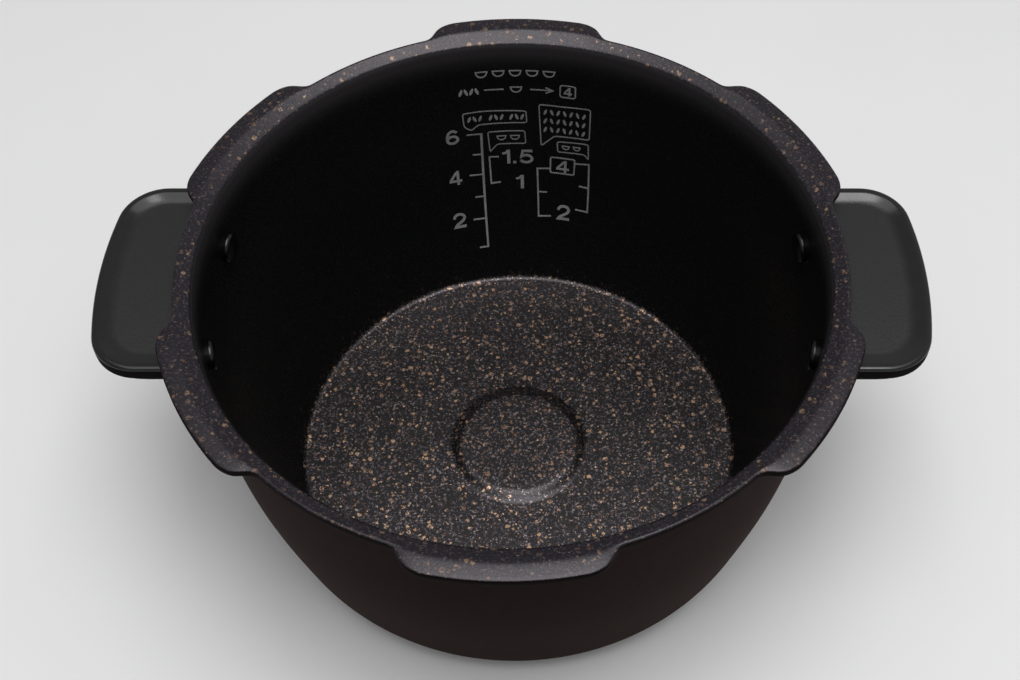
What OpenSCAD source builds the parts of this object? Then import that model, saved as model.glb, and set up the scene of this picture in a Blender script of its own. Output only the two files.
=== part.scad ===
// Removable inner cooking pot with a bayonet-lug rim and two riveted side handles.
// Millimetres, +Z up, +Y towards the level scale, origin at the centre of the base.

/* [Pot body] */
// Height from the base to the rim crest between the lugs
rim_h = 104.6; // [100:0.2:110]
// Radius of the flat base
base_r = 65; // [62:0.5:67]
// Outer radius of the corner between base and wall
corner_r = 20.5; // [18:0.5:22]
// Outer wall radius just under the rim
wall_r = 94.3; // [94:0.1:95]
// Outer wall radius at the foot of the straight part of the wall
wall_low_r = 93.1; // [92.6:0.1:93.4]
// Height of the straight upper wall
wall_straight = 28; // [26:1:32]
// Thickness of the wall at the straight part
wall_t = 2.4; // [2:0.1:2.8]
// Thickness of the base
floor_t = 4.4; // [3.6:0.2:5.4]
// Radius of the flat cooking floor
floor_r = 72.4; // [70:0.2:73]
// Radius of the soft fillet round the cooking floor
floor_fillet = 2.2; // [1.4:0.2:3]
// Radius of the resting recess under the base
recess_r = 50; // [40:1:56]
// Depth of the resting recess under the base
recess_d = 0.6; // [0.4:0.1:1]

/* [Centre boss] */
// Radius of the flat top of the raised boss
boss_top_r = 19; // [16:0.5:20]
// Radius at the foot of the raised boss
boss_foot_r = 24.3; // [23:0.1:27]
// Height of the raised boss
boss_h = 1.6; // [1:0.1:2.4]

/* [Rim and lugs] */
// Outer radius of the rim between the lugs
rim_r = 97.1; // [96.8:0.1:97.6]
// Thickness of the rim flange
rim_t = 3; // [2.6:0.1:3.4]
// Slope of the sealing face inside the rim, in degrees
seal_angle = 28; // [24:1:32]
// Outer radius of the lugs
lug_r = 103; // [101:0.2:105]
// Number of lugs round the rim
lug_count = 6; // [6]
// Angle from a lug's centre to where its end starts to fall away
lug_flat_half = 12.2; // [11:0.2:13]
// Angle from a lug's centre to its root
lug_root_half = 18.2; // [17:0.2:19]
// Height of the lug crest above the rim crest
lug_rise = 0.6; // [0.4:0.1:0.8]
// Depth of the lug underside below the rim crest
lug_under = 2.3; // [2:0.1:2.6]

/* [Handles] */
// Distance from the pot axis to a handle tip
handle_reach = 121.2; // [119:0.1:124]
// Width of a handle
handle_w = 68.4; // [66:0.2:70]
// Corner radius of a handle in plan
handle_corner = 14; // [12:0.5:15]
// Radius of the curved outer end of a handle
handle_end_r = 130; // [110:5:140]
// Depth of the handle top below the rim crest
handle_drop = 6.8; // [6.6:0.2:8]
// Thickness of the handle edge
handle_edge = 4.6; // [4.2:0.2:5]
// Bevel round the edge of the handle top
handle_bevel = 0.6; // [0.4:0.1:0.9]
// Depth of the thumb dish in the handle top
dish_d = 1.4; // [1:0.1:1.6]
// Width of the border round the thumb dish at the sides
dish_border = 4.2; // [3.6:0.2:5]
// Width of the border round the thumb dish at the tip
dish_tip = 6.2; // [5:0.2:7]
// Thickness of the upper half below its edge
grip_top_core = 3.6; // [3:0.2:4]
// Thickness of the lower half
grip_base_t = 5; // [4.6:0.2:6]

/* [Bracket and fasteners] */
// Thickness of the bracket sheet
sheet_t = 1.6; // [1.4:0.1:1.8]
// Half the angle that the bracket's back plate covers
plate_half = 17; // [15.5:0.5:18]
// Height of the bracket's back plate
plate_h = 15; // [14:0.5:16]
// Half the width of the bracket's tongue
tongue_half = 14; // [12:0.5:15]
// Distance from the pot axis to the end of the tongue
tongue_reach = 113; // [111:0.5:114]
// Angle of each rivet from the handle's centre line
rivet_angle = 13; // [12:0.5:13.5]
// Depth of the rivets below the rim crest
rivet_drop = 19; // [18:0.2:19.6]
// Radius of a rivet shank
rivet_r = 1.9; // [1.6:0.1:2.4]
// Radius of a rivet's head
rivet_head_r = 4.8; // [4:0.1:5.2]
// Height of a rivet's head
rivet_head_h = 2.6; // [2.2:0.1:2.8]
// Radius of the rounding round a rivet's head
rivet_head_e = 1.4; // [1:0.1:1.6]
// Radius of a rivet's closed tail
rivet_tail_r = 3.8; // [3.2:0.1:4]
// Height of a rivet's closed tail
rivet_tail_h = 1.3; // [1:0.1:1.5]
// Distance from the pot axis to the handle screws
screw_x = 107; // [105:0.5:108]
// Sideways distance of a handle screw from the handle's centre line
screw_y = 8.5; // [7:0.5:9]
// Radius of a screw's shank
screw_r = 1.9; // [1.7:0.1:2.1]
// Radius of a screw's head
screw_head_r = 3.6; // [3.2:0.1:3.8]
// Height of a screw's head
screw_head_h = 2.3; // [2:0.1:2.6]

/* [Hidden] */
$fn = 96;

H = rim_h;
handle_z = H - handle_drop;            // top of the handle border
edge_z = handle_z - handle_edge;       // foot of the handle edge
split_z = edge_z - grip_top_core;      // joint between the handle halves
grip_z = split_z - grip_base_t;        // underside of the handle
rivet_z = H - rivet_drop;
plate_lo = rivet_z - plate_h/2;
plate_hi = rivet_z + plate_h/2;
hand_cut = wall_r + 1.3;               // inner end of the handle's top slab
core_cut = wall_r + 2.9 + 0.6;         // inner end of the parts beside the rivet tails
end_cx = handle_reach - handle_end_r;  // centre of the handle's curved outer end

function bez(a, b, c, d, n) = [for (i = [0:n]) let (t = i/n, u = 1 - t)
  u*u*u*a + 3*u*u*t*b + 3*u*t*t*c + t*t*t*d];
function arcp(c, r, a0, a1, n) = [for (i = [0:n]) let (a = a0 + (a1 - a0)*i/n)
  c + r*[cos(a), sin(a)]];
function pol(r, a) = [r*cos(a), r*sin(a)];

// Straight upper walls, as [radius, height] at their two ends
out_hi = [wall_r, H - 4];
out_lo = [wall_low_r, H - 4 - wall_straight];
out_dir = (out_hi - out_lo)/norm(out_hi - out_lo);
function out_at(z) = out_lo[0] + (out_hi[0] - out_lo[0])*(z - out_lo[1])/(out_hi[1] - out_lo[1]);
in_hi = [wall_r - wall_t, H - 6.6];
in_lo = [wall_r - wall_t - 2, H - 42];
in_dir = (in_hi - in_lo)/norm(in_hi - in_lo);
function in_at(z) = in_lo[0] + (in_hi[0] - in_lo[0])*(z - in_lo[1])/(in_hi[1] - in_lo[1]);

// Outer wall from the base corner up to the straight part
corner_end = [base_r, corner_r] + corner_r*[cos(-12), sin(-12)];
outer_pts = concat(
  [[0, recess_d], [recess_r, recess_d], [recess_r + recess_d, 0]],
  arcp([base_r, corner_r], corner_r, -90, -12, 12),
  [for (i = [1:9]) bez(corner_end, corner_end + 26*[sin(12), cos(12)],
    out_lo - 20*out_dir, out_lo, 10)[i]],
  [out_lo, out_hi - [0, 1.8*(out_hi[0] - out_lo[0])/wall_straight] - [0, 1.8]]);

// Rim flange, sealing slope and the fillet into the inner wall
crest_c = [rim_r - 0.8, H - 0.8];
slope_hi = crest_c + 0.8*[cos(90 + seal_angle), sin(90 + seal_angle)];
slope_lo = slope_hi - (slope_hi[0] - (wall_r - wall_t + 1.1))*[1, tan(seal_angle)];
rim_pts = concat(
  [for (i = [1:5]) let (a = 180 - 18*i)
    [rim_r, H - rim_t - (rim_r - wall_r)] + (rim_r - wall_r)*[cos(a), sin(a)]],
  [[rim_r, H - rim_t + 0.3]],
  arcp(crest_c, 0.8, 0, 90 + seal_angle, 5),
  [for (i = [0:7]) bez(slope_lo, slope_lo - 1.3*[cos(seal_angle), sin(seal_angle)],
    in_hi + 2.4*in_dir, in_hi, 8)[i]]);

// Inner wall, floor fillet, floor and raised boss
fillet_c = [floor_r, floor_t + floor_fillet];
fillet_a = 63;
fillet_end = fillet_c + floor_fillet*[sin(fillet_a), -cos(fillet_a)];
inner_pts = concat(
  [in_hi, in_lo],
  [for (i = [1:9]) bez(in_lo, in_lo - 20*in_dir,
    fillet_end + 20*[cos(fillet_a), sin(fillet_a)], fillet_end, 10)[i]],
  [for (i = [0:6]) let (a = fillet_a*(1 - i/6))
    fillet_c + floor_fillet*[sin(a), -cos(a)]],
  [for (i = [0:8]) let (t = i/8)
    [boss_foot_r + (boss_top_r - boss_foot_r)*t, floor_t + boss_h*(1 - cos(180*t))/2]],
  [[0, floor_t + boss_h]]);

// Plan of one lug, drawn about +X
function lug_edge(a) = let (s = min(1, max(0, (abs(a) - lug_flat_half)/(lug_root_half - lug_flat_half))))
  lug_r + 0.5 - (lug_r + 0.5 - rim_r + 0.6)*(s*s*(3 - 2*s));
module lug_plan() {
  polygon(concat([pol(90, lug_root_half)],
    [pol(90, -lug_root_half)],
    [for (i = [0:40]) let (a = -lug_root_half + 2*lug_root_half*i/40) pol(lug_edge(a), a)]));
}

// Ring section that the lugs are cut from
module lug_section() {
  top = slope_hi + (lug_rise/sin(seal_angle))*[cos(seal_angle), sin(seal_angle)];
  polygon(concat(
    [[rim_r - 4, H - lug_under], [lug_r - 0.5, H - lug_under], [lug_r, H - lug_under + 0.5]],
    arcp([lug_r - 0.8, H - 0.75], 0.8, 0, 84, 4),
    [top + [0.75, -0.04], top + [0.25, -0.02], top - [0.15, 0.12], slope_hi, [rim_r - 4, H - 2]]));
}

module lugs() {
  for (i = [0:lug_count - 1]) rotate([0, 0, 30 + i*360/lug_count])
    intersection() {
      rotate_extrude() lug_section();
      translate([0, 0, H - 8]) linear_extrude(12) lug_plan();
    }
}

// One copy for the handle on +X (s = 1) or on -X (s = -1)
module on_side(s) { if (s > 0) children(); else mirror([1, 0, 0]) children(); }

// Cylinder along a rivet's axis, from radius r0 to radius r1 of the pot
module rivet_bar(a, r, r0, r1) {
  rotate([0, 0, a]) translate([r0, 0, rivet_z]) rotate([0, 90, 0]) cylinder(r = r, h = r1 - r0);
}

module pot_body() {
  color([0.16, 0.13, 0.13])
  difference() {
    union() {
      rotate_extrude() polygon(concat(outer_pts, rim_pts, inner_pts));
      lugs();
    }
    for (s = [1, -1]) on_side(s) for (k = [-1, 1])
      rivet_bar(k*rivet_angle, rivet_r, 80, 110);
  }
}

// Handle outline in plan, for +X, drawn inwards by d at the sides and dt at the tip
module grip_plan(d, dt, x0) {
  cr = handle_corner - d*0.8;
  hw = handle_w/2 - d;
  er = handle_end_r - dt;
  // corner circle touches the side and the curved end
  cy = hw - cr;
  cx = end_cx + sqrt((er - cr)*(er - cr) - cy*cy);
  a1 = atan2(cy, cx - end_cx);
  polygon(concat([[x0, -hw]],
    arcp([cx, -cy], cr, -90, -a1, 10),
    [for (i = [1:11]) let (a = -a1 + 2*a1*i/12) [end_cx + er*cos(a), er*sin(a)]],
    arcp([cx, cy], cr, a1, 90, 10),
    [[x0, hw]]));
}

module grip_slab(d, dt, z0, z1, x0 = 80) {
  translate([0, 0, z0]) linear_extrude(z1 - z0) grip_plan(d, dt, x0);
}

module screw_bar(r, z0, z1) {
  for (k = [-1, 1]) translate([screw_x, k*screw_y, z0]) cylinder(r = r, h = z1 - z0);
}

module tongue(gap) {
  difference() {
    translate([wall_r - 6, -tongue_half - gap, split_z - sheet_t - gap])
      cube([tongue_reach + gap - wall_r + 6, 2*(tongue_half + gap), sheet_t + 2*gap]);
    translate([0, 0, 0]) cylinder(r = out_at(split_z) + 0.2, h = 200);
  }
}

module handle_top(s) {
  color([0.10, 0.10, 0.105]) on_side(s)
  difference() {
    union() {
      difference() {
        hull() {
          grip_slab(0, 0, edge_z, handle_z - handle_bevel);
          grip_slab(handle_bevel, handle_bevel, handle_z - 0.02, handle_z);
        }
        translate([0, 0, 0]) cylinder(r = hand_cut, h = 200);
      }
      difference() {
        hull() {
          grip_slab(0.5, 0.5, edge_z - 0.02, edge_z + 0.5);
          grip_slab(2.6, 2.6, split_z, split_z + 0.1);
        }
        translate([0, 0, 0]) cylinder(r = core_cut, h = 200);
      }
    }
    difference() {
      grip_slab(dish_border, dish_tip, handle_z - dish_d, handle_z + 5);
      translate([0, 0, 0]) cylinder(r = hand_cut + 0.01, h = 200);
    }
    screw_bar(screw_r, split_z - 1, split_z + 5.6);
  }
}

module handle_base(s) {
  color([0.07, 0.07, 0.072]) on_side(s)
  difference() {
    hull() {
      grip_slab(2.6, 2.6, split_z - 0.1, split_z);
      grip_slab(5.2, 5.2, grip_z + 1, grip_z + 1.1);
      grip_slab(6.4, 6.4, grip_z, grip_z + 0.1);
    }
    translate([0, 0, 0]) cylinder(r = core_cut, h = 200);
    tongue(0.1);
    screw_bar(screw_r + 0.3, grip_z - 1, split_z + 1);
    screw_bar(screw_head_r + 0.3, grip_z - 1, grip_z + screw_head_h + 0.2);
  }
}

module handle_bracket(s) {
  color([0.62, 0.62, 0.63]) on_side(s)
  difference() {
    union() {
      intersection() {
        rotate_extrude() polygon([
          [out_at(plate_lo), plate_lo], [out_at(plate_lo) + sheet_t, plate_lo],
          [out_at(plate_hi) + sheet_t, plate_hi], [out_at(plate_hi), plate_hi]]);
        linear_extrude(200) polygon([[0, 0], pol(140, -plate_half), pol(140, plate_half)]);
      }
      difference() {
        translate([wall_r - 6, -tongue_half, split_z - sheet_t])
          cube([tongue_reach - wall_r + 6, 2*tongue_half, sheet_t]);
        cylinder(r = out_at(split_z) + sheet_t/2, h = 200);
      }
    }
    for (k = [-1, 1]) rivet_bar(k*rivet_angle, rivet_r, 80, 110);
    screw_bar(screw_r + 0.3, split_z - 5, split_z + 5);
  }
}

module rivets(s) {
  crown = (rivet_head_r*rivet_head_r + 0.16)/0.8;  // the head's face rises 0.4 mm in its middle
  ri = in_at(rivet_z);
  ro = out_at(rivet_z) + sheet_t;
  color([0.20, 0.19, 0.19]) on_side(s) for (k = [-1, 1]) {
    union() {
      // slightly crowned head with a rounded edge, on the inner wall
      difference() {
        rotate([0, 0, k*rivet_angle]) translate([ri, 0, rivet_z]) rotate([0, -90, 0])
          rotate_extrude() intersection() {
            translate([0, rivet_head_h - crown]) circle(r = crown);
            union() {
              translate([0, -1]) square([rivet_head_r - rivet_head_e, rivet_head_h + 1]);
              translate([0, -1]) square([rivet_head_r, rivet_head_h + 1 - rivet_head_e]);
              translate([rivet_head_r - rivet_head_e, rivet_head_h - rivet_head_e]) circle(r = rivet_head_e);
            }
          }
        rotate_extrude() polygon([in_lo, in_hi, [120, in_hi[1]], [120, in_lo[1]]]);
      }
      // shank through the wall and the bracket
      rivet_bar(k*rivet_angle, rivet_r, ri - 0.4, ro + 0.4);
      // closed tail on the bracket
      difference() {
        rivet_bar(k*rivet_angle, rivet_tail_r, ri, ro + rivet_tail_h);
        rotate_extrude() polygon([[0, plate_lo], [out_at(plate_lo) + sheet_t, plate_lo],
          [out_at(plate_hi) + sheet_t, plate_hi], [0, plate_hi]]);
      }
    }
  }
}

module screws(s) {
  color([0.55, 0.55, 0.57]) on_side(s) for (k = [-1, 1])
    translate([screw_x, k*screw_y, 0]) difference() {
      union() {
        translate([0, 0, grip_z + 0.2]) cylinder(r = screw_head_r, h = screw_head_h);
        translate([0, 0, grip_z + 0.3]) cylinder(r = screw_r, h = split_z + 5.2 - grip_z - 0.3);
      }
      for (q = [0, 90]) rotate([0, 0, q]) translate([-2, -0.45, grip_z]) cube([4, 0.9, 1.4]);
    }
}

module left_handle_top() handle_top(-1);
module left_handle_base() handle_base(-1);
module left_handle_bracket() handle_bracket(-1);
module left_rivets() rivets(-1);
module left_screws() screws(-1);
module right_handle_top() handle_top(1);
module right_handle_base() handle_base(1);
module right_handle_bracket() handle_bracket(1);
module right_rivets() rivets(1);
module right_screws() screws(1);

pot_body();
left_handle_top();
left_handle_base();
left_handle_bracket();
left_rivets();
left_screws();
right_handle_top();
right_handle_base();
right_handle_bracket();
right_rivets();
right_screws();
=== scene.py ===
import math

import bmesh
import bpy
from mathutils import Matrix, Vector


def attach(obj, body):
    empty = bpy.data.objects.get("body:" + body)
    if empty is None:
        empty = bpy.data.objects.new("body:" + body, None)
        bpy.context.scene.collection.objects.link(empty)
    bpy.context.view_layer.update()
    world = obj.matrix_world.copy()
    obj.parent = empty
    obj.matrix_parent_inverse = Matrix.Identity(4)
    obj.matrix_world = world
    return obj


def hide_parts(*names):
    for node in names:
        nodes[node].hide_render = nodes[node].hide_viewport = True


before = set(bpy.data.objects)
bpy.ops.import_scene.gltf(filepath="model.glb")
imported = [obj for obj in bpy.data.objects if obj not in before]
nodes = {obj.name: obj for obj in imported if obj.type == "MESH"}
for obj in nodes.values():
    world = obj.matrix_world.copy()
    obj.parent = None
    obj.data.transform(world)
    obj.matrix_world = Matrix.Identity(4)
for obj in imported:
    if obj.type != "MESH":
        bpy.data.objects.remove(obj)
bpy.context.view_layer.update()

MM = 0.001
rad = math.radians

# ---------------------------------------------------------------- camera
R = Vector((0.99999932, 0.00084466, -0.00080671))
U = Vector((-0.00023271, 0.82090697, 0.57106190))
F = Vector((-0.00114459, 0.57106132, -0.82090661))
cam = bpy.data.cameras.new("camera")
cam.sensor_fit = "HORIZONTAL"
cam.sensor_width = 36.0
cam.lens = 49.465
cam.shift_x = -0.03906
cam.shift_y = 0.03418
cam.clip_start = 0.01
cam.dof.use_dof = False
cam_ob = bpy.data.objects.new("camera", cam)
bpy.context.scene.collection.objects.link(cam_ob)
cam_ob.matrix_world = Matrix((
    (R.x, U.x, -F.x, 0.0113518),
    (R.y, U.y, -F.y, -0.2580236),
    (R.z, U.z, -F.z, 0.4171026),
    (0, 0, 0, 1)))
bpy.context.scene.camera = cam_ob
bpy.context.scene.view_settings.view_transform = "Standard"
bpy.context.scene.view_settings.look = "None"


# ---------------------------------------------------------------- node helpers
class Tree:
    """Short names for building a material's nodes."""

    def __init__(self, name):
        self.mat = bpy.data.materials.new(name)
        self.mat.use_nodes = True
        self.nt = self.mat.node_tree
        self.nt.nodes.clear()
        self.out = self.nt.nodes.new("ShaderNodeOutputMaterial")

    def node(self, kind, inputs=None, **props):
        n = self.nt.nodes.new("ShaderNode" + kind)
        for k, v in props.items():
            setattr(n, k, v)
        for k, v in (inputs or {}).items():
            self.put(n.inputs[k], v)
        return n

    def put(self, socket, v):
        if isinstance(v, bpy.types.NodeSocket):
            self.nt.links.new(v, socket)
        else:
            socket.default_value = v

    def math(self, op, a, b=0.0, c=0.0, clamp=False):
        n = self.node("Math", operation=op, use_clamp=clamp)
        for s, v in zip(n.inputs, (a, b, c)):
            self.put(s, v)
        return n.outputs[0]

    def mul(self, a, b):
        return self.math("MULTIPLY", a, b)

    def add(self, a, b):
        return self.math("ADD", a, b)

    def sub(self, a, b):
        return self.math("SUBTRACT", a, b)

    def ramp(self, v, lo, hi, to_lo=0.0, to_hi=1.0, smooth=True):
        n = self.node("MapRange", clamp=True,
                      interpolation_type="SMOOTHSTEP" if smooth else "LINEAR")
        for s, x in zip((0, 1, 2, 3, 4), (v, lo, hi, to_lo, to_hi)):
            self.put(n.inputs[s], x)
        return n.outputs[0]

    def mix(self, f, a, b):
        n = self.node("Mix", data_type="RGBA", blend_type="MIX")
        self.put(n.inputs[0], f)
        self.put(n.inputs[6], a)
        self.put(n.inputs[7], b)
        return n.outputs[2]

    def mixf(self, f, a, b):
        n = self.node("Mix", data_type="FLOAT")
        self.put(n.inputs[0], f)
        self.put(n.inputs[2], a)
        self.put(n.inputs[3], b)
        return n.outputs[0]

    def coords(self, scale=1000.0):
        """Object coordinates in millimetres."""
        t = self.node("TexCoord")
        n = self.node("VectorMath", operation="SCALE")
        self.put(n.inputs[0], t.outputs["Object"])
        n.inputs["Scale"].default_value = scale
        return n.outputs[0]

    def noise(self, v, size, detail=2.0, rough=0.5, seed=0.0, dist=0.0):
        """Noise with features about size millimetres across."""
        n = self.node("TexNoise", {"Scale": 1.0/size, "Detail": detail, "Roughness": rough,
                                   "Distortion": dist}, noise_dimensions="3D")
        if seed:
            m = self.node("VectorMath", operation="ADD")
            self.put(m.inputs[0], v)
            m.inputs[1].default_value = (seed, seed*1.7, seed*0.6)
            v = m.outputs[0]
        self.put(n.inputs["Vector"], v)
        return n.outputs["Fac"]

    def cells(self, v, size, seed=0.0, feature="F1", metric="EUCLIDEAN"):
        n = self.node("TexVoronoi", {"Scale": 1.0/size, "Randomness": 1.0},
                      voronoi_dimensions="3D", feature=feature, distance=metric)
        if seed:
            m = self.node("VectorMath", operation="ADD")
            self.put(m.inputs[0], v)
            m.inputs[1].default_value = (seed, seed*1.3, seed*0.7)
            v = m.outputs[0]
        self.put(n.inputs["Vector"], v)
        return n

    def wobble(self, v, size, amount):
        """The coordinates pushed about by noise, so that shapes drawn with them are irregular."""
        n = self.node("TexNoise", {"Scale": 1.0/size, "Detail": 1.0}, noise_dimensions="3D")
        self.put(n.inputs["Vector"], v)
        s = self.node("VectorMath", operation="SUBTRACT")
        self.put(s.inputs[0], n.outputs["Color"])
        s.inputs[1].default_value = (0.5, 0.5, 0.5)
        k = self.node("VectorMath", operation="SCALE")
        self.put(k.inputs[0], s.outputs[0])
        k.inputs["Scale"].default_value = amount
        a = self.node("VectorMath", operation="ADD")
        self.put(a.inputs[0], v)
        self.put(a.inputs[1], k.outputs[0])
        return a.outputs[0]

    def split(self, c):
        n = self.node("SeparateColor")
        self.put(n.inputs[0], c)
        return n.outputs

    def attr(self, name):
        return self.node("Attribute", attribute_name=name).outputs["Fac"]

    def bump(self, height, distance, strength=1.0, normal=None):
        n = self.node("Bump")
        n.inputs["Strength"].default_value = strength
        n.inputs["Distance"].default_value = distance
        self.put(n.inputs["Height"], height)
        if normal is not None:
            self.put(n.inputs["Normal"], normal)
        return n.outputs[0]

    def bsdf(self, **sockets):
        n = self.node("BsdfPrincipled")
        for k, v in sockets.items():
            self.put(n.inputs[k.replace("_", " ")], v)
        return n.outputs[0]

    def done(self, shader):
        self.nt.links.new(shader, self.out.inputs["Surface"])
        return self.mat


def rgb(r, g, b):
    return (r, g, b, 1.0)


# ---------------------------------------------------------------- materials
def flecks(t, p, size, lo, hi, share, seed, cluster=None):
    """A mask of round-ish flecks: one to a cell of that size, in that share of the cells."""
    v = t.cells(p, size, seed)
    c = t.split(v.outputs["Color"])
    keep = t.math("LESS_THAN", c[0], share if cluster is None else t.mul(cluster, share))
    r = t.ramp(c[1], 0.0, 1.0, lo/size, hi/size, smooth=False)
    inside = t.ramp(t.math("DIVIDE", v.outputs["Distance"], r), 0.75, 1.1, 1.0, 0.0)
    return t.mul(inside, keep), c[2]


def coating_nodes(t):
    """Charcoal non-stick coating with copper flecks: colour, metallic part, roughness and height."""
    p = t.coords()
    q = t.wobble(p, 0.60, 0.85)
    geo = t.node("NewGeometry")
    sep = t.node("SeparateXYZ")
    t.put(sep.inputs[0], geo.outputs["Normal"])
    # painted light: flecks, grit and the paler rim tone are drawn on faces that look up, where the overhead light
    # falls, and fade out on the steep wall, which is left dark as painted shade
    up = t.ramp(sep.outputs[2], 0.40, 0.88, 0.008, 1.0)
    pos = t.node("SeparateXYZ")
    t.put(pos.inputs[0], p)
    # smoother on the rim, which is polished by the lid
    rim = t.ramp(pos.outputs[2], 92.0, 99.0, 1.0, 0.26)
    dim = t.ramp(pos.outputs[2], 92.0, 99.0, 1.0, 0.36)
    group = t.ramp(t.noise(p, 5.5, 3.0, 0.65, seed=3.1), 0.36, 0.62, 0.45, 1.5)
    fine, fine_c = flecks(t, q, 1.30, 0.17, 0.44, 0.42, 5.0, t.mul(group, t.math("SQRT", rim)))
    gold, gold_c = flecks(t, q, 2.40, 0.34, 0.92, 0.66, 23.0, group)
    broken = t.ramp(t.noise(p, 0.95, 2.0, 0.7, seed=5.3), 0.42, 0.55, 0.10, 1.0)
    gold = t.mul(t.mul(gold, broken), dim)
    fine = t.mul(fine, dim)
    grit = t.noise(p, 0.80, 1.5, 0.75, seed=1.3)
    # painted light: the grit shows only on faces that look up
    salt = t.mul(t.mul(t.ramp(grit, 0.52, 0.63), up), rim)
    tint = t.noise(p, 1.3, 1.0, seed=7.7)
    level = t.noise(p, 0.80, 1.0, seed=12.1)
    grain = t.noise(p, 0.42, 2.0, 0.65)
    speck = t.ramp(grain, 0.38, 0.66)
    base = t.mix(speck, rgb(0.0009, 0.0009, 0.0009), rgb(0.0046, 0.0042, 0.0045))
    # painted light: steep faces take their own slightly greener, paler copy of the speckled base
    base = t.mix(t.ramp(sep.outputs[2], 0.25, 0.60, 1.0, 0.0), base,
                 t.mix(speck, rgb(0.0010, 0.0015, 0.0014), rgb(0.0050, 0.0062, 0.0059)))
    # painted light: the top of the steep wall is painted paler and fades down into the dark coating
    painted_wall_light = t.math("POWER", t.ramp(pos.outputs[2], 88.0, 99.0, smooth=False), 3.0)
    base = t.mix(t.mul(painted_wall_light, t.ramp(sep.outputs[2], 0.25, 0.70, 1.0, 0.0)), base, rgb(0.0310, 0.0288, 0.0310))
    # painted light: the paler rim tone is kept to faces that look up
    base = t.mix(t.mul(t.ramp(pos.outputs[2], 93.0, 98.0), up), base,
                 t.mix(speck, rgb(0.0046, 0.0034, 0.0062), rgb(0.0100, 0.0082, 0.0120)))
    salt_c = t.mix(t.ramp(tint, 0.40, 0.60), rgb(0.060, 0.062, 0.075), rgb(0.098, 0.073, 0.078))
    salt_c = t.mix(t.ramp(level, 0.50, 0.64), salt_c, rgb(0.260, 0.212, 0.208))
    colour = t.mix(salt, base, salt_c)
    # painted light: the flecks show only on faces that look up
    colour = t.mix(t.mul(fine, up), colour,
                   t.mix(t.math("POWER", fine_c, 1.5), rgb(0.105, 0.060, 0.043), rgb(0.58, 0.375, 0.24)))
    colour = t.mix(t.mul(gold, up), colour,
                   t.mix(t.math("POWER", gold_c, 1.3), rgb(0.19, 0.105, 0.066), rgb(0.74, 0.485, 0.31)))
    bright = t.mul(t.math("MAXIMUM", gold, fine), up)
    metal = t.math("MAXIMUM", bright, salt)
    rough = t.mixf(metal, t.ramp(grain, 0.3, 0.7, 0.33, 0.26), 0.38)
    wide = t.noise(p, 1.5, 1.0)
    height = t.add(t.mul(grain, 0.030), t.add(t.mul(wide, 0.030), t.mul(bright, 0.012)))
    return p, colour, metal, rough, height


def pot_material():
    t = Tree("pot_coating")
    p, colour, metal, rough, height = coating_nodes(t)
    # plain brown finish outside, past the edge of the rim, where the attribute is negative
    edge = t.attr("skin")
    edge = t.add(edge, t.mul(t.sub(t.noise(p, 1.3, 2.0, 0.6, seed=9.0), 0.5), 0.5))
    inside = t.ramp(edge, -0.12, 0.12)
    n1 = t.noise(p, 0.35, 2.0, 0.55, seed=4.0)
    n2 = t.noise(p, 9.0, 3.0, 0.6, seed=6.0)
    brown = t.mix(n2, rgb(0.0088, 0.0056, 0.0051), rgb(0.0130, 0.0082, 0.0074))
    brown = t.mix(t.ramp(n1, 0.45, 0.8), brown, rgb(0.0210, 0.0140, 0.0126))
    # faint turning rings where the base rests
    under = t.attr("under")
    sep = t.node("SeparateXYZ")
    t.put(sep.inputs[0], p)
    r = t.math("SQRT", t.add(t.mul(sep.outputs[0], sep.outputs[0]), t.mul(sep.outputs[1], sep.outputs[1])))
    comb = t.node("CombineXYZ")
    t.put(comb.inputs[0], r)
    rings = t.noise(comb.outputs[0], 0.55, 2.0, 0.7, seed=2.0)
    brown = t.mix(t.mul(under, t.ramp(rings, 0.35, 0.7)), brown, rgb(0.048, 0.042, 0.041))
    # the outer edge of the rim and the lugs is nearly black: partly the dark coating carried over the edge, partly
    # painted shade standing in for the dark line under the lugs
    brown = t.mix(t.attr("edge"), brown, rgb(0.0042, 0.0036, 0.0036))
    col = t.mix(inside, brown, colour)
    met = t.mul(metal, inside)
    rgh = t.mixf(inside, t.ramp(n1, 0.3, 0.7, 0.80, 0.70), rough)
    h_out = t.add(t.mul(n1, 0.012), t.mul(t.mul(rings, under), 0.030))
    nrm = t.bump(t.mixf(inside, h_out, height), 0.001)
    s_in = t.bsdf(Base_Color=col, Metallic=met, Roughness=rgh, Normal=nrm, IOR=1.43,
                  Specular_Tint=rgb(1.0, 0.945, 0.985))
    s_out = t.bsdf(Base_Color=col, Roughness=rgh, Normal=nrm, IOR=1.10, Specular_Tint=rgb(1.0, 0.68, 0.62),
                   Sheen_Weight=0.027, Sheen_Roughness=0.36, Sheen_Tint=rgb(1.0, 0.60, 0.55))
    m = t.node("MixShader")
    t.put(m.inputs[0], inside)
    t.put(m.inputs[1], s_out)
    t.put(m.inputs[2], s_in)
    return t.done(m.outputs[0])


def rivet_material():
    t = Tree("rivet_coated")
    p, colour, metal, rough, height = coating_nodes(t)
    geo = t.node("NewGeometry")
    sep = t.node("SeparateXYZ")
    t.put(sep.inputs[0], geo.outputs["Normal"])
    # painted shade: the reflection is turned down on the side of the head, picked by which way the face looks, so only
    # the rounded edge and the face catch the light
    face = t.ramp(t.math("ABSOLUTE", sep.outputs[0]), 0.08, 0.26, 0.05, 0.62)
    grain = t.noise(p, 0.42, 2.0, 0.65)
    colour = t.mix(t.ramp(grain, 0.38, 0.66), rgb(0.0009, 0.0009, 0.0009), rgb(0.0040, 0.0037, 0.0040))
    nrm = t.bump(height, 0.0004)
    return t.done(t.bsdf(Base_Color=colour, Roughness=0.24, Normal=nrm, IOR=1.43, Specular_IOR_Level=face,
                         Specular_Tint=rgb(1.0, 0.945, 0.985)))


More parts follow.
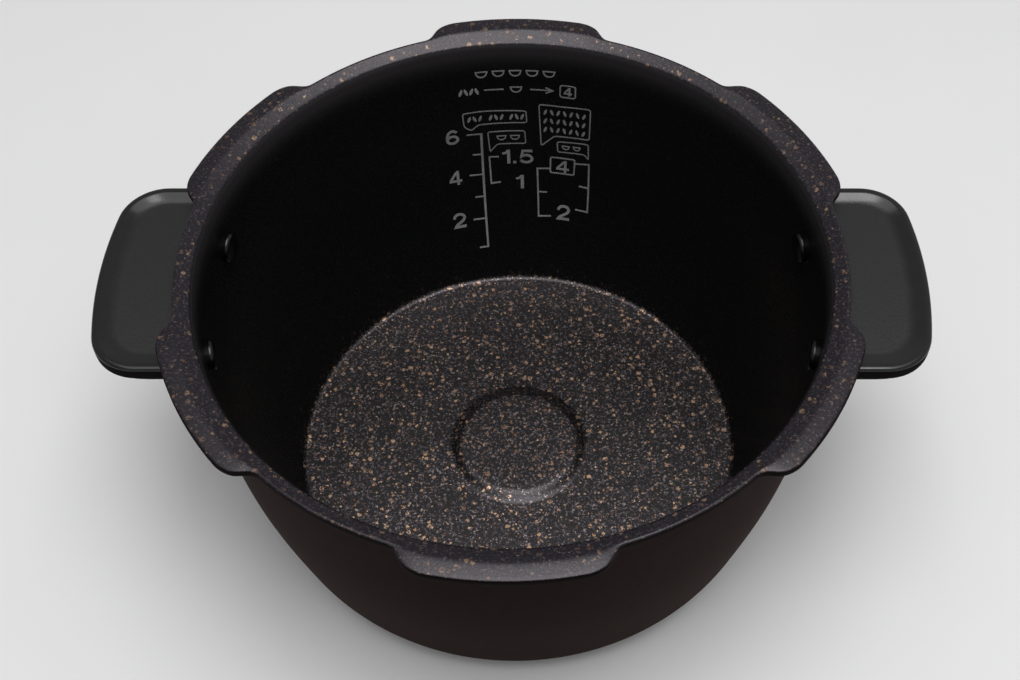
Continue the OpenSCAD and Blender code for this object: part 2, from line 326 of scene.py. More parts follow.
def gloss_material():
    """Black moulding: polished border, fine leather-like grain in the dish."""
    t = Tree("handle_gloss")
    p = t.coords()
    dish = t.attr("dish")
    q = t.wobble(p, 2.4, 1.4)
    creases = t.cells(q, 1.7, 7.0, feature="DISTANCE_TO_EDGE").outputs["Distance"]
    creases = t.ramp(creases, 0.0, 0.18)
    pores = t.noise(p, 0.55, 2.0, 0.6, seed=1.0)
    leather = t.add(t.mul(creases, 0.009), t.mul(pores, 0.020))
    swirl = t.noise(p, 4.0, 2.0, 0.5, seed=8.0)
    colour = t.mix(t.mul(dish, t.ramp(pores, 0.4, 0.8)), rgb(0.0060, 0.0062, 0.0066), rgb(0.0100, 0.0102, 0.0108))
    rough = t.mixf(dish, t.ramp(swirl, 0.35, 0.65, 0.14, 0.18), t.ramp(pores, 0.3, 0.7, 0.36, 0.28))
    height = t.mixf(dish, t.mul(swirl, 0.004), leather)
    nrm = t.bump(height, 0.001)
    return t.done(t.bsdf(Base_Color=colour, Roughness=rough, Normal=nrm, IOR=1.56))


def matte_material(name, ior, dark, light):
    t = Tree(name)
    p = t.coords()
    spark = t.noise(p, 0.32, 2.0, 0.6, seed=2.0)
    wide = t.noise(p, 6.0, 2.0, 0.5, seed=5.0)
    colour = t.mix(t.ramp(t.add(t.mul(spark, 0.7), t.mul(wide, 0.3)), 0.35, 0.65), dark, light)
    rough = t.add(t.ramp(spark, 0.3, 0.7, 0.72, 0.60), t.mul(wide, 0.08))
    nrm = t.bump(spark, 0.00005, 0.6)
    return t.done(t.bsdf(Base_Color=colour, Roughness=rough, Normal=nrm, IOR=ior))


def steel_material(name, tone, along):
    """Drawn steel: fine scratches along one axis."""
    t = Tree(name)
    p = t.coords()
    s = t.node("VectorMath", operation="MULTIPLY")
    t.put(s.inputs[0], p)
    s.inputs[1].default_value = along
    lines = t.noise(s.outputs[0], 0.30, 3.0, 0.7)
    cloud = t.noise(p, 5.0, 3.0, 0.6, seed=3.0)
    k = t.add(t.mul(lines, 0.6), t.mul(cloud, 0.4))
    colour = t.mix(k, rgb(tone*0.72, tone*0.72, tone*0.73), rgb(tone, tone, tone*1.01))
    rough = t.ramp(k, 0.3, 0.7, 0.42, 0.26)
    nrm = t.bump(lines, 0.00002, 0.5)
    return t.done(t.bsdf(Base_Color=colour, Metallic=1.0, Roughness=rough, Normal=nrm))


def ink_material():
    """Printed scale: pale grey, slightly uneven in cover."""
    t = Tree("scale_ink")
    p = t.coords()
    n1 = t.noise(p, 0.35, 2.0, 0.6, seed=2.0)
    n2 = t.noise(p, 5.0, 2.0, 0.5, seed=7.0)
    k = t.add(t.mul(n1, 0.5), t.mul(n2, 0.5))
    colour = t.mix(t.ramp(k, 0.32, 0.66), rgb(0.18, 0.175, 0.185), rgb(0.29, 0.285, 0.295))
    nrm = t.bump(n1, 0.00003, 0.5)
    return t.done(t.bsdf(Base_Color=colour, Roughness=t.ramp(n1, 0.3, 0.7, 0.62, 0.5), Normal=nrm, IOR=1.4))


M_POT = pot_material()
M_RIVET = rivet_material()
M_GLOSS = gloss_material()
M_MATTE = matte_material("handle_matte", 1.2, rgb(0.0060, 0.0058, 0.0060), rgb(0.0120, 0.0116, 0.0120))
# painted shade: a darker, duller copy of the matte plastic for the sides of the grip top, which face away from the
# light
M_SHADE_SIDE = matte_material("handle_side_shade", 1.08, rgb(0.0042, 0.0034, 0.0036), rgb(0.0078, 0.0064, 0.0067))
M_BRACKET = steel_material("bracket_steel", 0.17, (0.12, 1.0, 1.0))
M_SCREW = steel_material("screw_steel", 0.52, (1.0, 1.0, 0.15))
M_INK = ink_material()


# ---------------------------------------------------------------- pot body
def bez(a, b, c, d, n):
    a, b, c, d = Vector(a), Vector(b), Vector(c), Vector(d)
    return [((1 - t)**3*a + 3*(1 - t)**2*t*b + 3*(1 - t)*t*t*c + t**3*d)[:]
            for t in (i/n for i in range(n + 1))]


def arc(c, r, a0, a1, n):
    return [(c[0] + r*math.cos(rad(a0 + (a1 - a0)*i/n)), c[1] + r*math.sin(rad(a0 + (a1 - a0)*i/n)))
            for i in range(n + 1)]


def line(a, b, n):
    return [(a[0] + (b[0] - a[0])*i/n, a[1] + (b[1] - a[1])*i/n) for i in range(n + 1)]


H = 104.6
OUT_HI, OUT_LO = (94.3, 100.6), (93.1, 72.6)
IN_HI, IN_LO = (91.9, 98.0), (89.9, 62.6)


def unit(a, b):
    d = Vector(b) - Vector(a)
    return d.normalized()


OUT_DIR, IN_DIR = unit(OUT_LO, OUT_HI), unit(IN_LO, IN_HI)
s12, c12 = math.sin(rad(12)), math.cos(rad(12))
corner = (65 + 20.5*c12, 20.5 - 20.5*s12)
FLOOR_T, FLOOR_R, FIL = 4.4, 72.4, 2.2
fil_c = (FLOOR_R, FLOOR_T + FIL)
fa = rad(63)
fil_end = (fil_c[0] + FIL*math.sin(fa), fil_c[1] - FIL*math.cos(fa))
INNER_LOW = bez(IN_LO, (Vector(IN_LO) - 20*IN_DIR)[:],
                (fil_end[0] + 20*math.cos(fa), fil_end[1] + 20*math.sin(fa)), fil_end, 26)


def r_inner(z):
    """Inner wall radius at a height, in millimetres."""
    if z >= IN_LO[1]:
        return IN_LO[0] + (IN_HI[0] - IN_LO[0])*(z - IN_LO[1])/(IN_HI[1] - IN_LO[1])
    for (r0, z0), (r1, z1) in zip(INNER_LOW, INNER_LOW[1:]):
        if z1 <= z <= z0:
            return r0 + (r1 - r0)*(z0 - z)/(z0 - z1)
    return INNER_LOW[-1][0]


def pot_profile():
    """Section of the pot as (ring point, lug point, skin, under), from the middle of the base round to the boss."""
    out = []

    def put(pts, lug=None, skin=-5.0, under=0.0):
        for i, q in enumerate(pts):
            w = lug[i] if lug else q
            out.append((q, w, skin if not isinstance(skin, (list, tuple)) else skin[i], under))

    # underside: recess, foot ring
    put(line((2, 0.6), (49.2, 0.6), 12), under=1.0)
    put([(49.7, 0.56), (50.1, 0.42), (50.4, 0.2), (50.7, 0.05), (51.2, 0.0)], under=1.0)
    put(line((53, 0), (63, 0), 5), under=1.0)
    put([(64.2, 0.0)], under=0.7)
    put(arc((65, 20.5), 20.5, -90, -12, 26)[:-1], under=0.0)
    put(bez(corner, (corner[0] + 26*s12, corner[1] + 26*c12), (Vector(OUT_LO) - 20*OUT_DIR)[:], OUT_LO, 22)[:-1])
    top = (OUT_HI[0] - 1.8*(OUT_HI[0] - OUT_LO[0])/28, OUT_HI[1] - 1.8)
    put(line(OUT_LO, top, 9)[:-1])
    put(arc((97.1, 98.8), 2.8, 180, 93, 10))
    # rim face, matched point by point between the plain rim and the lug
    ring = arc((96.85, 101.85), 0.25, -90, 0, 3) + [(97.1, 102.0), (97.1, 102.08), (97.1, 102.14), (97.1, 102.2)]
    lug = arc((96.85, 101.85), 0.25, -90, 0, 3) + [(97.1, 102.06), (97.14, 102.2), (97.24, 102.27), (97.4, 102.3)]
    ring += [(97.1, 102.24), (97.1, 102.28), (97.1, 102.32), (97.1, 102.36)]
    lug += [(98.8, 102.3), (100.2, 102.3), (101.5, 102.3), (102.45, 102.3)]
    ring += [(97.1, 102.42), (97.1, 102.5), (97.1, 102.6), (97.1, 102.72)]
    lug += arc((102.45, 102.8), 0.5, -90, 0, 4)[1:]
    ring += [(97.1, 103.0), (97.1, 103.4), (97.1, 103.8)]
    lug += [(102.95, 103.15), (102.95, 103.5), (102.95, 103.85)]
    ring += arc((96.3, 103.8), 0.8, 12.5, 62.5, 4)
    lug += arc((102.15, 103.85), 0.8, 0, 84, 5)[1:]
    ring += arc((96.3, 103.8), 0.8, 62.5, 118, 10)[1:]
    lug += [(101.4, 104.74), (100.5, 104.83), (99.6, 104.915), (98.8, 104.975), (98.2, 105.0),
            (97.7, 104.985), (97.25, 104.92), (96.9, 104.82), (96.6, 104.7), (96.35, 104.585)]
    n = len(ring)
    k0 = 21  # the finish changes half-way round the upper edge
    skin = [(-3.0 if i < k0 - 1 else 3.0 if i > k0 + 1 else (i - k0)*0.3) for i in range(n)]
    put(ring, lug, skin)
    # sealing slope, fillet and inner wall
    t28 = math.tan(rad(28))
    hi = (96.3 + 0.8*math.cos(rad(118)), 103.8 + 0.8*math.sin(rad(118)))
    lo = (93.0, hi[1] - (hi[0] - 93.0)*t28)
    put(line(hi, lo, 6)[1:], line((96.35, 104.585), lo, 6)[1:], 5.0)
    put(bez(lo, (lo[0] - 1.3*math.cos(rad(28)), lo[1] - 1.3*math.sin(rad(28))),
            (Vector(IN_HI) + 2.4*IN_DIR)[:], IN_HI, 10)[1:], None, 5.0)
    put(line(IN_HI, IN_LO, 12)[1:], None, 5.0)
    put(INNER_LOW[1:], None, 5.0)
    put([(fil_c[0] + FIL*math.sin(fa*(1 - i/8)), fil_c[1] - FIL*math.cos(fa*(1 - i/8))) for i in range(1, 9)], None, 5.0)
    put(line((FLOOR_R, FLOOR_T), (24.3, FLOOR_T), 10)[1:], None, 5.0)
    put([(24.3 - 5.3*i/16, FLOOR_T + 1.6*(1 - math.cos(math.pi*i/16))/2) for i in range(1, 17)], None, 5.0)
    put(line((19, FLOOR_T + 1.6), (2, FLOOR_T + 1.6), 5)[1:], None, 5.0)
    return out


S_TABLE = [(0, 1), (11.6, 1), (12.6, .965), (13.3, .915), (14, .84), (14.5, .765), (15, .66), (15.5, .51),
           (16, .34), (16.5, .185), (17, .08), (17.6, .02), (18.2, 0), (40, 0)]


def lug_share(phi):
    """How far the rim is drawn out into a lug, phi degrees from the lug's middle."""
    a = abs(phi)
    pts = S_TABLE
    # smooth through the table with monotone cubic steps
    for i in range(len(pts) - 1):
        if pts[i][0] <= a <= pts[i + 1][0]:
            x0, y0 = pts[i]
            x1, y1 = pts[i + 1]
            d = (y1 - y0)/(x1 - x0)
            dp = (y0 - pts[i - 1][1])/(x0 - pts[i - 1][0]) if i > 0 else 0.0
            dn = (pts[i + 2][1] - y1)/(pts[i + 2][0] - x1) if i + 2 < len(pts) else 0.0
            m0 = 0.0 if dp*d <= 0 else 2*dp*d/(dp + d)
            m1 = 0.0 if dn*d <= 0 else 2*dn*d/(dn + d)
            h = x1 - x0
            t = (a - x0)/h
            return ((2*t**3 - 3*t*t + 1)*y0 + (t**3 - 2*t*t + t)*h*m0
                    + (-2*t**3 + 3*t*t)*y1 + (t**3 - t*t)*h*m1)
    return 0.0


def pot_angles():
    half = ([i*1.25 for i in range(8)] + [10 + 0.5*i for i in range(6)] + [13 + 0.3*i for i in range(18)]
            + [18.5 + 11.5*i/8 for i in range(8)])
    local = sorted(set([round(-a, 4) for a in half] + [round(a, 4) for a in half] + [30.0]))
    return sorted((30 + 60*k + a) % 360 for k in range(6) for a in local)


def add_object(name, bm, mats, smooth=35.0):
    me = bpy.data.meshes.new(name)
    bmesh.ops.recalc_face_normals(bm, faces=bm.faces)
    bm.to_mesh(me)
    bm.free()
    for m in mats:
        me.materials.append(m)
    me.shade_smooth()
    me.set_sharp_from_angle(angle=rad(smooth))
    ob = bpy.data.objects.new(name, me)
    bpy.context.scene.collection.objects.link(ob)
    return ob


def make_pot():
    prof = pot_profile()
    angs = pot_angles()
    bm = bmesh.new()
    skin = bm.verts.layers.float.new("skin")
    under = bm.verts.layers.float.new("under")
    edge = bm.verts.layers.float.new("edge")
    rows = []
    for a in angs:
        phi = (a - 30 + 30) % 60 - 30
        s = lug_share(phi)
        ca, sa = math.cos(rad(a)), math.sin(rad(a))
        row = []
        for q, w, sk, un in prof:
            r = q[0] + (w[0] - q[0])*s
            z = q[1] + (w[1] - q[1])*s
            v = bm.verts.new((r*ca*MM, r*sa*MM, z*MM))
            v[skin] = sk
            v[under] = un
            # painted shade: on the lugs the black edge reaches down to their underside
            v[edge] = 1.0 if w[0] > 102.3 and w[1] > 102.5 and sk < 4 else 0.0
            if w[0] > 102.3 and s < 0.05:
                v[edge] = 1.0 if q[1] > 102.9 else 0.0
            row.append(v)
        rows.append(row)
    n = len(prof)
    for i in range(len(rows)):
        r0, r1 = rows[i], rows[(i + 1) % len(rows)]
        for j in range(n - 1):
            bm.faces.new((r0[j], r1[j], r1[j + 1], r0[j + 1]))
    for j, z, un in ((0, 0.6, 1.0), (n - 1, FLOOR_T + 1.6, 0.0)):
        c = bm.verts.new((0, 0, z*MM))
        c[skin] = rows[0][j][skin]
        c[under] = un
        c[edge] = 0.0
        for i in range(len(rows)):
            bm.faces.new((rows[i][j], rows[(i + 1) % len(rows)][j], c))
    return add_object("pot", bm, [M_POT], 40.0)


pot = make_pot()
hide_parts("pot_body")
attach(pot, "root")


# ---------------------------------------------------------------- handles
HZ = 97.8       # top of the border
EDGE = 93.2     # foot of the edge
SPLIT = 89.6
GRIP = 84.6
HW, REACH, END_R, CR = 34.2, 121.2, 130.0, 14.0


def plan(d, dt, rc, n_end=18, n_corner=12, n_side=8, n_inner=14):
    """Outline of a +X handle drawn in by d at the sides and dt at the tip, cut off at radius rc from the axis."""
    cr = CR - d*0.8
    hw = HW - d
    er = END_R - dt
    ecx = REACH - END_R
    cy = hw - cr
    cx = ecx + math.sqrt((er - cr)**2 - cy*cy)
    a1 = math.atan2(cy, cx - ecx)
    x0 = math.sqrt(rc*rc - hw*hw)
    low = [(x0 + (cx - x0)*i/n_side, -hw) for i in range(n_side)]
    low += [(cx + cr*math.cos(a), -cy + cr*math.sin(a))
            for a in (rad(-90) + (rad(90) - a1)*i/n_corner for i in range(n_corner))]
    half = n_end//2
    low += [(ecx + er*math.cos(a), er*math.sin(a)) for a in (-a1 + a1*i/half for i in range(half))]
    mid = [(ecx + er, 0.0)]
    high = [(x, -y) for x, y in reversed(low)]
    ai = math.atan2(hw, x0)
    inner = [(rc*math.cos(a), rc*math.sin(a))
             for a in (ai - 2*ai*i/(n_inner + 1) for i in range(1, n_inner + 1))]
    return low + mid + high, inner


def loft(bm, rings, close_low=True, close_high=True):
    """Quads between loops with the same number of points."""
    for r0, r1 in zip(rings, rings[1:]):
        n = len(r0)
        for i in range(n):
            j = (i + 1) % n
            bm.faces.new((r0[i], r0[j], r1[j], r1[i]))
    if close_low:
        bm.faces.new(list(reversed(rings[0])))
    if close_high:
        bm.faces.new(rings[-1])


def mirror_x(bm):
    for v in bm.verts:
        v.co.x = -v.co.x
    bmesh.ops.reverse_faces(bm, faces=bm.faces)


def handle_top(name, s):
    bm = bmesh.new()
    dish = bm.verts.layers.float.new("dish")
    # tilt of the slope that leads down into the dish, steep at the border and easing off inwards
    steps, wide = 24, 4.9
    fall = [0.0]
    for i in range(steps):
        u = (i + 0.5)/steps
        k = u/0.08 if u < 0.08 else 1.0 if u < 0.38 else 0.5*(1 + math.cos(math.pi*(u - 0.38)/0.62))
        fall.append(fall[-1] + math.tan(rad(20.5*k))*wide/steps)
    floor_z = HZ - fall[-1]
    # (side inset, tip inset, inner radius, height, dish)
    secs = [(2.6, 2.6, 97.8, SPLIT, 0), (2.45, 2.45, 97.8, SPLIT + 0.12, 0), (2.2, 2.2, 97.8, SPLIT + 0.7, 0),
            (1.3, 1.3, 97.8, SPLIT + 2.0, 0), (0.62, 0.62, 97.8, EDGE - 0.35, 0), (0.5, 0.5, 97.78, EDGE - 0.05, 0),
            (0.36, 0.36, 95.66, EDGE + 0.02, 0), (0.16, 0.16, 95.6, EDGE + 0.12, 0), (0.03, 0.03, 95.6, EDGE + 0.35, 0),
            (0.0, 0.0, 95.6, EDGE + 0.8, 0), (0.0, 0.0, 95.6, EDGE + 2.0, 0), (0.0, 0.0, 95.6, HZ - 1.15, 0)]
    for i in range(1, 9):
        a = rad(86*i/8)
        secs.append((1.0*(1 - math.cos(a)), 1.0*(1 - math.cos(a)), 95.6 + 0.05*i, HZ - 1.02 + 1.0*math.sin(a), 0))
    # nearly flat border, then the soft slope down into the dish
    for i in range(1, 5):
        t = i/4
        secs.append((0.93 + 1.15*t, 0.93 + 0.5*t, 96.0, HZ - 0.022*(1 - t), 0))
    for i in range(1, steps + 1):
        u = i/steps
        secs.append((2.08 + wide*u, 1.43 + 6.6*u, 96.0 + 0.9*u, HZ - fall[i], max(0.0, min(1.0, (u - 0.4)/0.5))))
    secs.append((7.4, 8.5, 97.0, floor_z, 1))
    secs.append((8.1, 9.2, 97.15, floor_z, 1))
    rings = []
    for d, dt, rc, z, k in secs:
        outer, inner = plan(d, dt, rc)
        row = []
        for x, y in outer:
            v = bm.verts.new((x*MM, y*MM, z*MM))
            v[dish] = k
            row.append(v)
        for x, y in inner:
            v = bm.verts.new((x*MM, y*MM, min(z, floor_z)*MM))
            v[dish] = 1.0 if z >= floor_z and d > 1.2 else 0.0
            row.append(v)
        rings.append(row)
    loft(bm, rings)
    bm.normal_update()
    # painted shade: the sides and the lower edge take the darker, duller copy of the plastic
    for f in bm.faces:
        z = f.calc_center_median().z
        if z < (EDGE + 0.6)*MM or (z < (HZ - 0.75)*MM and abs(f.normal.z) < 0.8):
            f.material_index = 1
    if s < 0:
        mirror_x(bm)
    return add_object(name, bm, [M_GLOSS, M_SHADE_SIDE], 50.0)


for side, s in (("right", 1), ("left", -1)):
    top = handle_top(side + "_grip_top", s)
    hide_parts(side + "_handle_top")
    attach(top, "root")
    for part, mat in (("_handle_base", M_MATTE), ("_handle_bracket", M_BRACKET), ("_rivets", M_RIVET), ("_screws", M_SCREW)):
        ob = nodes[side + part]
        for sl in ob.material_slots:
            sl.material = mat


# ---------------------------------------------------------------- level scale
class Print:
    """Flat shapes in millimetres on the wall, bent to its curve. Angles go from +Y towards -X."""

    def __init__(self):
        self.bm = bmesh.new()

    def at(self, ang, z, w):
        r = r_inner(z) - w
        return Vector((-r*math.sin(rad(ang)), r*math.cos(rad(ang)), z))*MM

    def strip(self, pts, width, closed=False, lo=0.01, hi=0.07):
        """A line of the given width through points (ang, z), with square corners."""
        rr = r_inner(sum(p[1] for p in pts)/len(pts))
        k = rad(1)*rr
        flat = [Vector((-p[0]*k, p[1])) for p in pts]
        fine = []
        m = len(flat)
        for i in range(m if closed else m - 1):
            a, b = flat[i], flat[(i + 1) % m]
            n = max(1, int((b - a).length/1.5))
            fine += [a + (b - a)*j/n for j in range(n)]
        if not closed:
            fine.append(flat[-1])
        m = len(fine)
        left, right = [], []
        for i, p in enumerate(fine):
            a = fine[(i - 1) % m] if closed or i > 0 else None
            b = fine[(i + 1) % m] if closed or i < m - 1 else None
            d0 = (p - a).normalized() if a is not None else (b - p).normalized()
            d1 = (b - p).normalized() if b is not None else d0
            n0, n1 = Vector((-d0.y, d0.x)), Vector((-d1.y, d1.x))
            nn = (n0 + n1).normalized()
            off = min(width/2/max(0.35, nn.dot(n0)), width*1.2)
            left.append(p + nn*off)
            right.append(p - nn*off)
        rows = []
        for q in (left, right):
            for w in (hi, lo):
                rows.append([self.bm.verts.new(self.at(-v.x/k, v.y, w)) for v in q])
        lh, ll, rh, rl = rows
        for i in range(m if closed else m - 1):
            j = (i + 1) % m
            for a, b in ((lh, rh), (rh, rl), (rl, ll), (ll, lh)):
                self.bm.faces.new((a[i], a[j], b[j], b[i]))
        if not closed:
            for i in (0, m - 1):
                self.bm.faces.new((lh[i], rh[i], rl[i], ll[i]))

    def blob(self, ang, z, w, h, turn=0.0, n=12, lo=0.01, hi=0.07):
        """A small filled oval."""
        k = rad(1)*r_inner(z)
        pts = []
        for i in range(n):
            a = 2*math.pi*i/n
            x, y = w/2*math.cos(a), h/2*math.sin(a)
            pts.append((x*math.cos(turn) - y*math.sin(turn), x*math.sin(turn) + y*math.cos(turn)))
        up = [self.bm.verts.new(self.at(ang - x/k, z + y, hi)) for x, y in pts]
        dn = [self.bm.verts.new(self.at(ang - x/k, z + y, lo)) for x, y in pts]
        self.bm.faces.new(up)
        self.bm.faces.new(list(reversed(dn)))
        for i in range(n):
            j = (i + 1) % n
            self.bm.faces.new((up[i], up[j], dn[j], dn[i]))

    def frame(self, pts, width, r=0.8):
        """A closed outline with rounded corners."""
        k = rad(1)*r_inner(sum(p[1] for p in pts)/len(pts))
        flat = [Vector((-p[0]*k, p[1])) for p in pts]
        out = []
        n = len(flat)
        for i in range(n):
            v, a, b = flat[i], flat[i - 1], flat[(i + 1) % n]
            ra, rb = min(r, (a - v).length*0.45), min(r, (b - v).length*0.45)
            p0, p1 = v + (a - v).normalized()*ra, v + (b - v).normalized()*rb
            for j in range(5):
                t = j/4
                out.append((1 - t)**2*p0 + 2*t*(1 - t)*v + t*t*p1)
        self.strip([(-q.x/k, q.y) for q in out], width, True)

    def number(self, text, ang, z, height, wide=1.0, stroke=1.0):
        """A plain number in bars and arcs of one width, centred at (ang, z)."""
        k = rad(1)*r_inner(z)
        gap = 0.11
        total = sum(GLYPHS[c][0] for c in text) + gap*(len(text) - 1)
        x = -total/2
        for c in text:
            w, strokes = GLYPHS[c]
            for pts, closed, share in strokes:
                self.strip([(ang - (x + px)*wide*height/k, z + (py - 0.5)*height) for px, py in pts],
                           stroke*share, closed)
            x += w + gap


def oval(cx, cy, rx, ry, a0, a1, n=14):
    return [(cx + rx*math.cos(rad(a0 + (a1 - a0)*i/n)), cy + ry*math.sin(rad(a0 + (a1 - a0)*i/n)))
            for i in range(n + 1)]


# width, then strokes: points in shares of the height, closed or not, share of the stroke width
GLYPHS = {
    "1": (0.46, [([(0.355, 0.0), (0.355, 1.0)], False, 1.12),
                 ([(0.03, 0.755), (0.15, 0.765), (0.235, 0.81), (0.28, 0.90), (0.30, 0.99)], False, 0.82)]),
    "2": (0.78, [([(0.085, 0.645)] + oval(0.385, 0.685, 0.29, 0.24, 178, -22)
                  + [(0.575, 0.475), (0.42, 0.355), (0.25, 0.25), (0.15, 0.16), (0.105, 0.078), (0.74, 0.078)], False, 1.0)]),
    "4": (0.82, [([(0.565, 0.0), (0.565, 1.0)], False, 1.0), ([(0.50, 0.925), (0.085, 0.33)], False, 0.9),
                 ([(0.02, 0.285), (0.80, 0.285)], False, 0.92)]),
    "5": (0.78, [([(0.70, 0.925), (0.215, 0.925), (0.145, 0.50)] + oval(0.385, 0.345, 0.30, 0.268, 128, -158), False, 1.0)]),
    "6": (0.78, [(oval(0.385, 0.32, 0.295, 0.243, 0, 342, 19), True, 1.0),
                 ([(0.09, 0.34)] + oval(0.40, 0.50, 0.31, 0.425, 180, 42), False, 1.0)]),
    ".": (0.18, [([(0.09, 0.0), (0.09, 0.165)], False, 1.1)]),
}


def z_of(v):
    return v + H


def make_scale():
    pr = Print()

    def st(pts, w, closed=False):
        pr.strip([(a, z_of(z)) for a, z in pts], w, closed)

    def fr(pts, w, r):
        pr.frame([(a, z_of(z)) for a, z in pts], w, r)

    thick, thin, fine = 0.80, 0.58, 0.44
    # six-cup scale
    st([(8.36, -39.5), (8.43, -50.0), (8.52, -62.0), (8.64, -76.0), (8.77, -87.9)], thick)
    for (a, z), (b, y) in (((11.62, -39.5), (8.38, -39.75)), ((10.59, -48.9), (8.42, -49.05)),
                           ((11.72, -57.8), (8.5, -57.95)), ((10.82, -67.3), (8.57, -67.4)),
                           ((11.84, -76.4), (8.65, -76.5)), ((11.01, -87.7), (8.77, -87.7))):
        st([(a, z), (b, y)], thin)
    pr.number("6", 14.79, z_of(-39.5), 6.5, 0.96)
    pr.number("4", 15.05, z_of(-57.95), 6.0, 0.99)
    pr.number("2", 15.28, z_of(-75.8), 5.9, 1.09)
    # short scale of one and one and a half
    st([(4.67, -50.75), (6.84, -50.57), (6.76, -62.18), (4.48, -61.9)], thin)
    pr.number("1.5", 0.38, z_of(-50.95), 6.0, 1.16)
    pr.number("1", -0.0, z_of(-62.05), 5.7, 1.2)
    # right-hand scale
    st([(-7.1, -55.67), (-4.09, -56.08), (-4.54, -76.17), (-7.65, -75.78)], thin)
    st([(-4.3, -66.1), (-6.46, -66.02)], thin)
    st([(-12.7, -52.3), (-16.01, -51.54), (-16.65, -71.9), (-13.55, -71.81)], thin)
    st([(-16.35, -61.85), (-14.01, -61.75)], thin)
    fr([(-7.11, -50.6), (-12.67, -50.6), (-12.67, -57.4), (-7.11, -57.4)], 0.52, 0.7)
    pr.number("4", -9.95, z_of(-54.3), 5.15, 1.16, 0.92)
    pr.number("2", -10.75, z_of(-73.8), 6.1, 1.06)
    # small boxed number at the top
    fr([(-9.0, -17.9), (-12.3, -17.9), (-12.3, -23.0), (-9.0, -23.0)], 0.48, 1.0)
    pr.number("4", -10.66, z_of(-20.5), 3.5, 1.05, 0.66)
    # pointed frames round the names of the settings, which hold plain pictures here
    fr([(12.2, -29.8), (8.0, -29.6), (-1.65, -30.2), (-1.78, -35.4), (8.9, -35.5), (10.5, -37.8), (12.0, -35.7)], fine, 1.0)
    fr([(6.9, -39.2), (-1.3, -39.15), (-1.5, -44.95), (4.9, -45.0), (6.6, -48.3)], fine, 0.9)
    fr([(-4.45, -27.1), (-9.5, -27.3), (-15.75, -26.7), (-15.75, -40.4), (-7.9, -40.9), (-4.95, -45.8)], fine, 1.0)
    fr([(-8.55, -43.35), (-15.6, -42.55), (-15.8, -49.5), (-14.9, -47.5), (-8.7, -47.95)], fine, 0.9)
    return pr


def grains(pr, ang, z, n=3, pitch=1.35, w=1.0, h=2.4):
    for i in range(n):
        pr.blob(ang - (i - (n - 1)/2)*pitch, z_of(z), w, h, 0.35 if i % 2 else -0.35)


def bowl(pr, ang, z, w=3.0, fine=0.42):
    k = rad(1)*r_inner(z_of(z))
    half = w/2/k
    top = z_of(z) + 0.26*w
    pr.strip([(ang + half*math.cos(math.pi*i/10), top - 0.60*w*math.sin(math.pi*i/10)**0.85) for i in range(11)], fine)
    pr.strip([(ang + half*1.18, top), (ang - half*1.18, top)], fine)


def make_pictures(pr):
    # two rows at the top
    for i in range(5):
        bowl(pr, 7.6 - i*3.55, -13.6, 3.7, 0.5)
    grains(pr, 10.5, -20.6, 4, 1.15, 1.05, 3.0)
    pr.strip([(7.2, z_of(-20.4)), (3.0, z_of(-20.5))], 0.5)
    bowl(pr, 0.4, -20.6, 3.6, 0.5)
    pr.strip([(-2.6, z_of(-20.6)), (-7.2, z_of(-20.7))], 0.5)
    pr.strip([(-5.9, z_of(-19.5)), (-7.4, z_of(-20.7)), (-5.9, z_of(-21.9))], 0.5)
    # frames
    for a in (9.6, 4.9, 0.4):
        grains(pr, a, -32.75, 3, 1.2, 1.0, 2.7)
    bowl(pr, 3.9, -42.1, 3.0, 0.46)
    bowl(pr, 0.9, -42.1, 3.0, 0.46)
    for z in (-30.3, -34.2, -38.1):
        grains(pr, -10.1, z, 7, 1.42, 0.95, 2.5)
    bowl(pr, -10.5, -45.6, 2.4, 0.4)
    bowl(pr, -13.0, -45.4, 2.4, 0.4)


scale = make_scale()
make_pictures(scale)
ink = add_object("level_scale", scale.bm, [M_INK], 30.0)
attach(ink, "root")


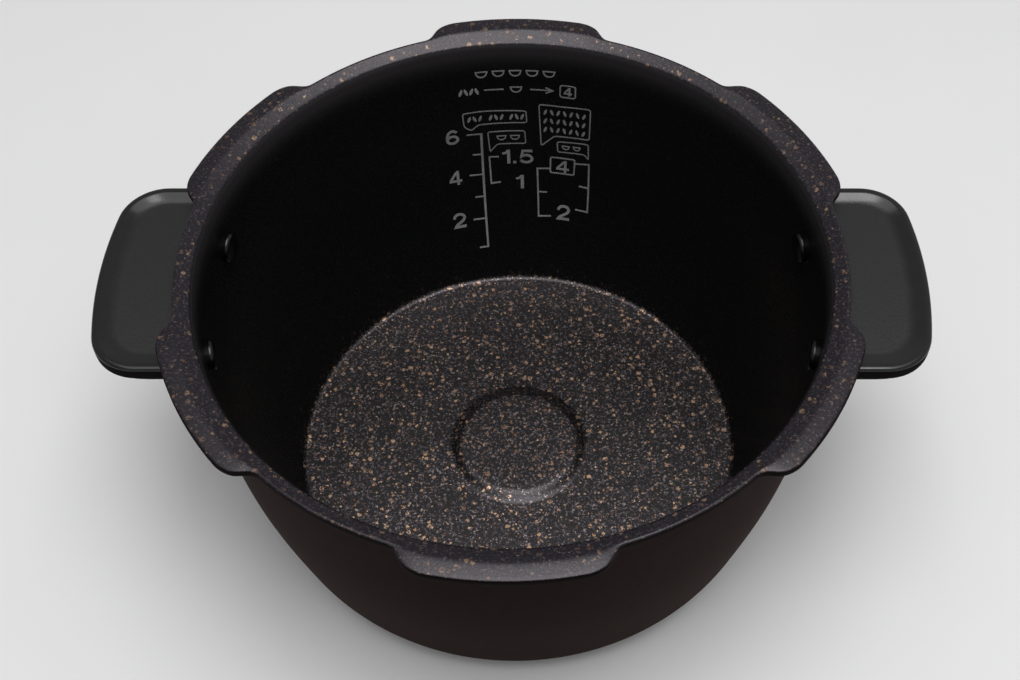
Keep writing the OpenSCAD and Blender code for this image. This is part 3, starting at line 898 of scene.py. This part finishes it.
# ---------------------------------------------------------------- floor and light
def make_stage():
    t = Tree("stage_pale")
    p = t.coords()
    n = t.noise(p, 60.0, 3.0, 0.5)
    col = t.mix(n, rgb(0.77, 0.77, 0.77), rgb(0.80, 0.80, 0.80))
    mat = t.done(t.bsdf(Base_Color=col, Roughness=0.7, IOR=1.3))
    bm = bmesh.new()
    bmesh.ops.create_grid(bm, x_segments=8, y_segments=8, size=4.0)
    ob = add_object("stage_floor", bm, [mat])
    ob.location.z = -0.0002
    return ob


make_stage()

world = bpy.data.worlds.new("studio")
bpy.context.scene.world = world
world.use_nodes = True
wt = world.node_tree
wt.nodes.clear()
wo = wt.nodes.new("ShaderNodeOutputWorld")
bg = wt.nodes.new("ShaderNodeBackground")
tc = wt.nodes.new("ShaderNodeTexCoord")
sx = wt.nodes.new("ShaderNodeSeparateXYZ")
cr = wt.nodes.new("ShaderNodeValToRGB")
side = wt.nodes.new("ShaderNodeMapRange")
wt.links.new(tc.outputs["Generated"], sx.inputs[0])
wt.links.new(sx.outputs["Z"], cr.inputs[0])
wt.links.new(cr.outputs[0], bg.inputs[0])
wt.links.new(bg.outputs[0], wo.inputs[0])
for q, k in ((0.0, 0.22), (1.0, 0.27), (0.32, 0.29), (0.60, 0.375), (0.80, 0.29)):
    e = cr.color_ramp.elements[int(q)] if q in (0.0, 1.0) else cr.color_ramp.elements.new(q)
    e.color = (k, k, k*1.01, 1)
# a little brighter towards the right
wt.links.new(sx.outputs["X"], side.inputs[0])
for i, v in enumerate((-0.6, 0.6, 0.78, 1.22)):
    side.inputs[i + 1].default_value = v
wt.links.new(side.outputs[0], bg.inputs[1])


def softbox(name, loc, target, sx, sy, watts, colour=(1, 1, 1)):
    li = bpy.data.lights.new(name, "AREA")
    li.shape = "RECTANGLE"
    li.size, li.size_y = sx, sy
    li.energy = watts
    li.color = colour
    ob = bpy.data.objects.new(name, li)
    bpy.context.scene.collection.objects.link(ob)
    ob.location = loc
    ob.rotation_euler = (Vector(target) - Vector(loc)).to_track_quat("-Z", "Y").to_euler()
    ob.visible_camera = False
    return ob


softbox("overhead", (0.0, -0.11, 1.15), (0.0, -0.11, 0.0), 1.25, 1.28, 6.0)
softbox("overhead_core", (0.08, -0.13, 1.14), (0.08, -0.13, 0.0), 0.60, 0.75, 5.9)
